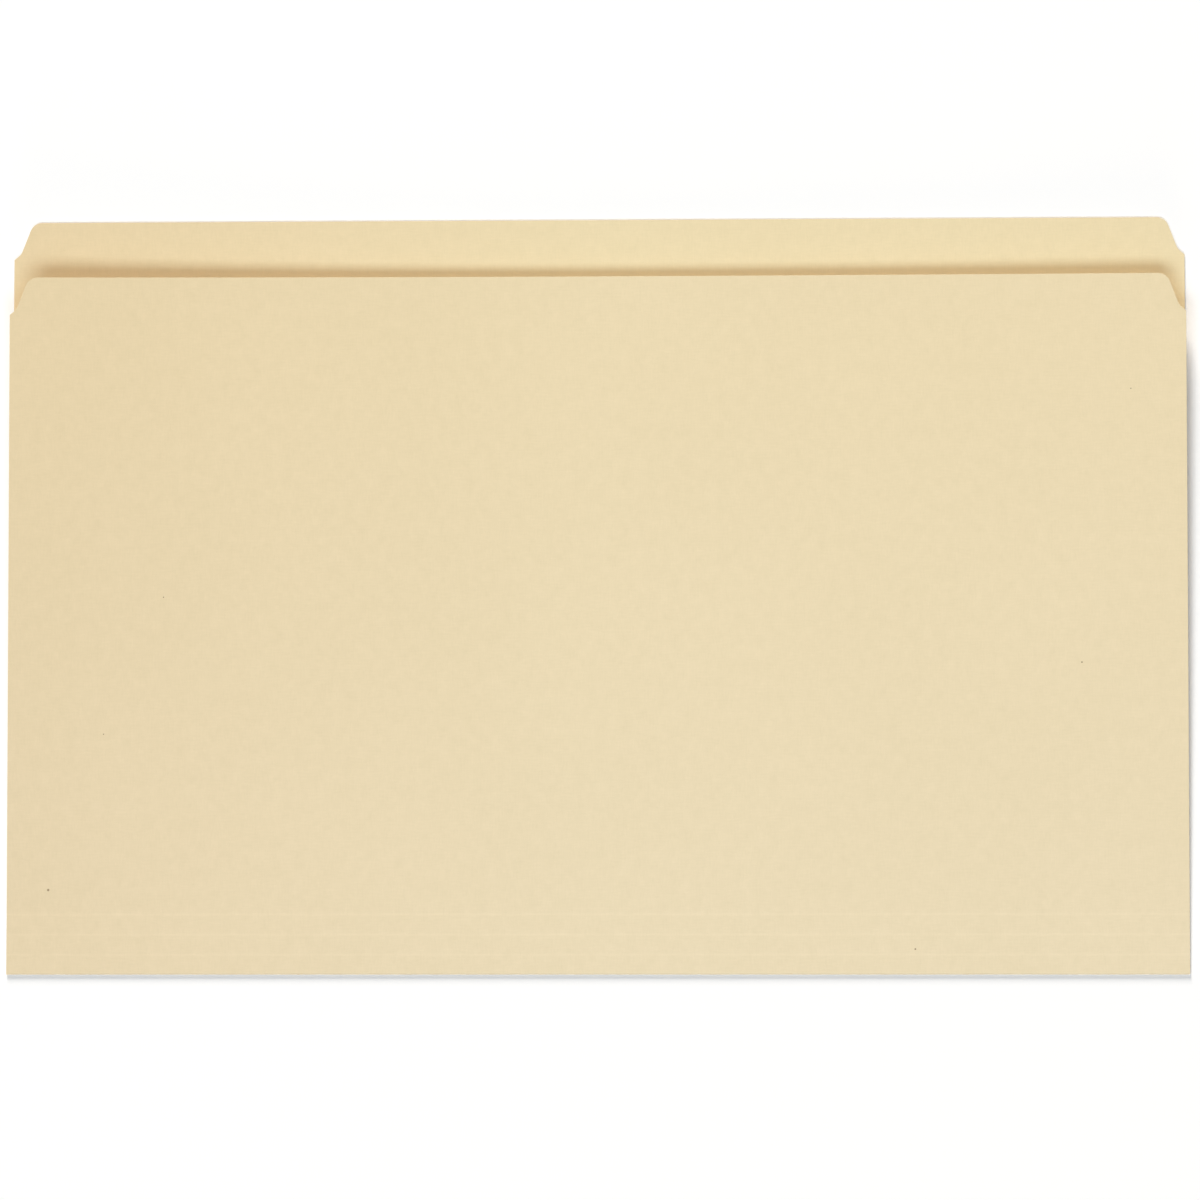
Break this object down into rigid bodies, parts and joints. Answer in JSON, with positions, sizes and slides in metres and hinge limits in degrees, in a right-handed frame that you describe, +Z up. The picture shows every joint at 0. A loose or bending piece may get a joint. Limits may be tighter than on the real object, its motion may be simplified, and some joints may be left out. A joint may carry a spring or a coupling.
{
  "type": "manila folder",
  "caption": "Flat file folder of folded card: back leaf with a full-width index tab, shorter cover hinged at the bottom fold, and score lines beside the fold that let it spread.",
  "frame": {"origin": "centre of the back leaf's outer face, on the surface that the folder lies on", "axes": "+X along the fold, +Y from the fold towards the tab, +Z up out of the back leaf"},
  "size_m": [0.3746, 0.2413, 0.0061],
  "materials": {
    "manila_card": "matte",
    "pressed_crease": "matte"
  },
  "bodies": {
    "back": {"back_panel": "manila_card", "index_tab": "manila_card", "main_fold_crease": "pressed_crease"},
    "strip_1": {"expansion_strip_1": "manila_card", "score_crease_1": "pressed_crease"},
    "strip_2": {"expansion_strip_2": "manila_card", "score_crease_2": "pressed_crease"},
    "strip_3": {"expansion_strip_3": "manila_card", "score_crease_3": "pressed_crease"},
    "cover": {"front_panel": "manila_card"}
  },
  "joints": [
    {"name": "cover_fold", "type": "hinge", "parent": "back", "child": "strip_1", "pos_m": [0, -0.12032, 0.00033], "axis": [1, 0, 0], "range_deg": [-1.4, 178.6]},
    {"name": "score_1_fold", "type": "hinge", "parent": "strip_1", "child": "strip_2", "pos_m": [0, -0.11431, 0.00067], "axis": [-1, 0, 0], "range_deg": [-60, 0]},
    {"name": "score_2_fold", "type": "hinge", "parent": "strip_2", "child": "strip_3", "pos_m": [0, -0.10796, 0.00082], "axis": [-1, 0, 0], "range_deg": [-60, 0]},
    {"name": "score_3_fold", "type": "hinge", "parent": "strip_3", "child": "cover", "pos_m": [0, -0.10161, 0.00098], "axis": [-1, 0, 0], "range_deg": [-60, 0]}
  ]
}
